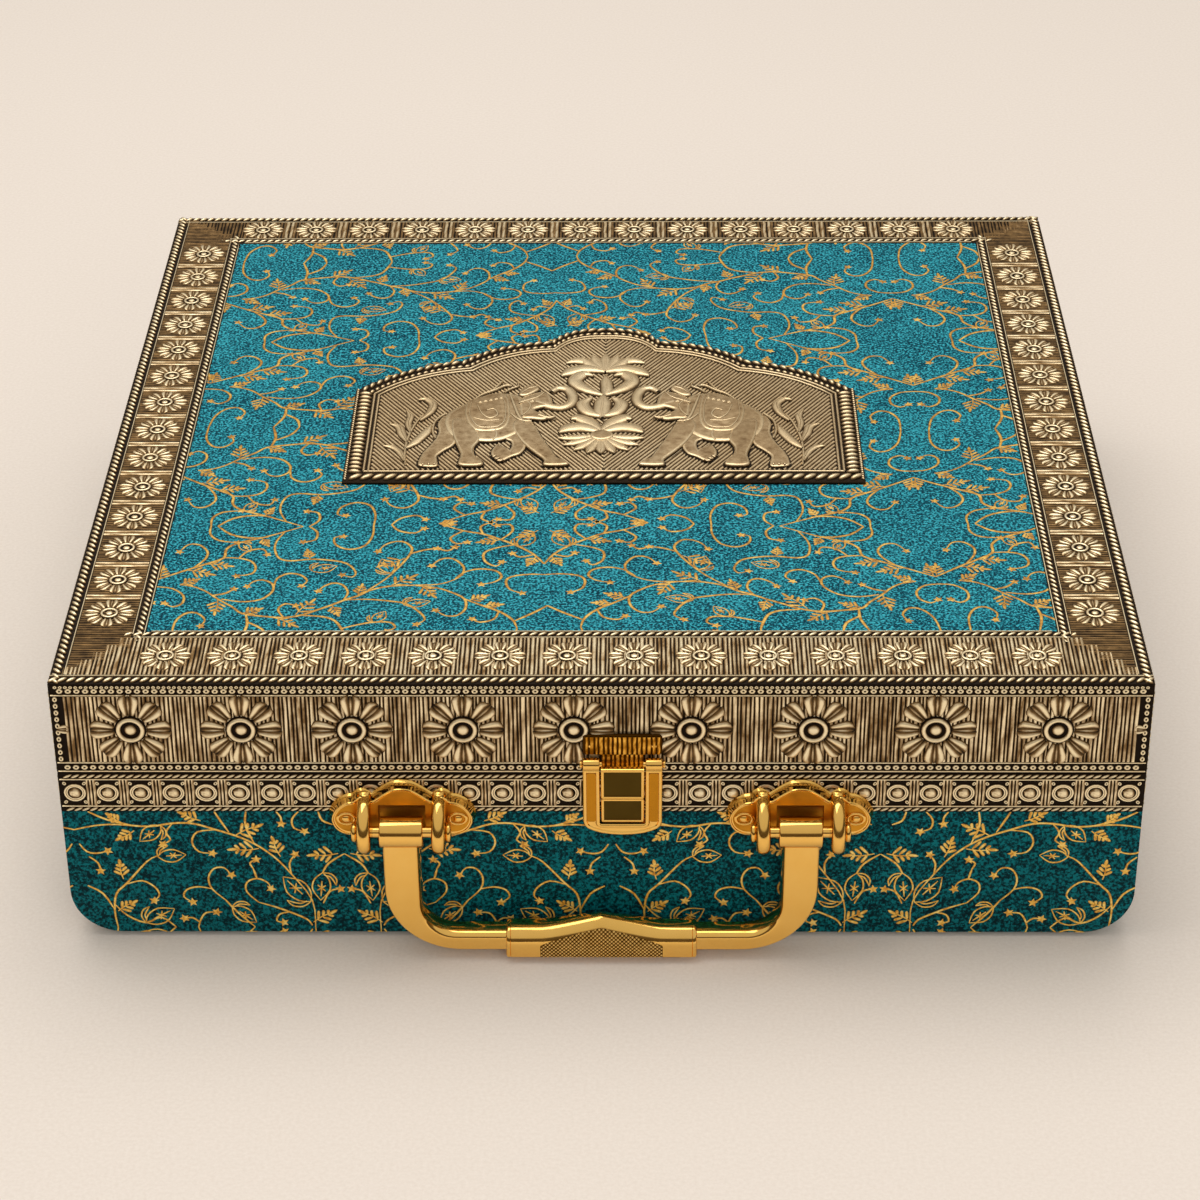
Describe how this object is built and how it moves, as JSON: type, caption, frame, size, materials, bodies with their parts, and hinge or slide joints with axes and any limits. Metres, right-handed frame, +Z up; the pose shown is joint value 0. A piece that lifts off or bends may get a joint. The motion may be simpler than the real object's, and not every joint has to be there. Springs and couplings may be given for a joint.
{
  "type": "dry fruit box",
  "caption": "Square hinged gift box with embossed metal lid and plaque, printed cloth panels, front drop handle, latch, and a divided inside for dry fruit.",
  "frame": {"origin": "on the table, under the middle of the box's square footprint", "axes": "+Z up, the handle and latch face -Y, +X to the right seen from the front"},
  "size_m": [0.3026, 0.3222, 0.0878],
  "materials": {
    "box_board": "raw fibre board, mostly covered",
    "printed_cloth": "teal woven cloth with a gold vine print",
    "embossed_metal": "embossed sheet, darkened in the recesses and rubbed bright on the tops",
    "brass_hardware": "polished yellow brass plating",
    "lining_velvet": "short pile velvet over card",
    "divider_board": "thin lacquered board",
    "foot_rubber": "matt black rubber"
  },
  "bodies": {
    "base": {"base_front_board": "box_board", "base_back_board": "box_board", "base_left_board": "box_board", "base_right_board": "box_board", "base_left_edge_rail": "box_board", "base_right_edge_rail": "box_board", "base_floor_board": "box_board", "base_printed_cloth": "printed_cloth", "base_feet": "foot_rubber", "base_band_front": "embossed_metal", "base_band_right": "embossed_metal", "base_band_back": "embossed_metal", "base_band_left": "embossed_metal", "liner_front": "lining_velvet", "liner_back": "lining_velvet", "liner_left": "lining_velvet", "liner_right": "lining_velvet", "floor_lining_pad": "lining_velvet", "divider_across": "divider_board", "divider_deep": "divider_board", "handle_bracket_left": "brass_hardware", "handle_bracket_right": "brass_hardware", "handle_bracket_screws": "brass_hardware", "handle_pins": "brass_hardware", "latch_catch": "brass_hardware", "hinge_lower_left": "brass_hardware", "hinge_lower_right": "brass_hardware", "hinge_pins": "brass_hardware", "hinge_screws_lower": "brass_hardware"},
    "lid": {"lid_front_board": "box_board", "lid_back_board": "box_board", "lid_left_board": "box_board", "lid_right_board": "box_board", "lid_top_board": "box_board", "lid_lining_pad": "lining_velvet", "lid_printed_cloth": "printed_cloth", "lid_skin_front": "embossed_metal", "lid_skin_right": "embossed_metal", "lid_skin_back": "embossed_metal", "lid_skin_left": "embossed_metal", "border_front": "embossed_metal", "border_back": "embossed_metal", "border_left": "embossed_metal", "border_right": "embossed_metal", "plaque": "embossed_metal", "latch_lid_plate": "brass_hardware", "latch_screws": "brass_hardware", "latch_pin": "brass_hardware", "hinge_upper_left": "brass_hardware", "hinge_upper_right": "brass_hardware", "hinge_screws_upper": "brass_hardware"},
    "handle": {"handle_bail": "brass_hardware", "handle_grip": "brass_hardware"},
    "latch": {"latch_bail": "brass_hardware"}
  },
  "joints": [
    {"name": "lid_hinge", "type": "hinge", "parent": "base", "child": "lid", "pos_m": [0, 0.1525, 0.0563], "axis": [-1, 0, 0], "range_deg": [0, 97]},
    {"name": "handle_swing", "type": "hinge", "parent": "base", "child": "handle", "pos_m": [0, -0.158, 0.042], "axis": [-1, 0, 0], "range_deg": [-4, 180]},
    {"name": "latch_flip", "type": "hinge", "parent": "lid", "child": "latch", "pos_m": [0.006, -0.1534, 0.0614], "axis": [-1, 0, 0], "range_deg": [0, 110]}
  ]
}
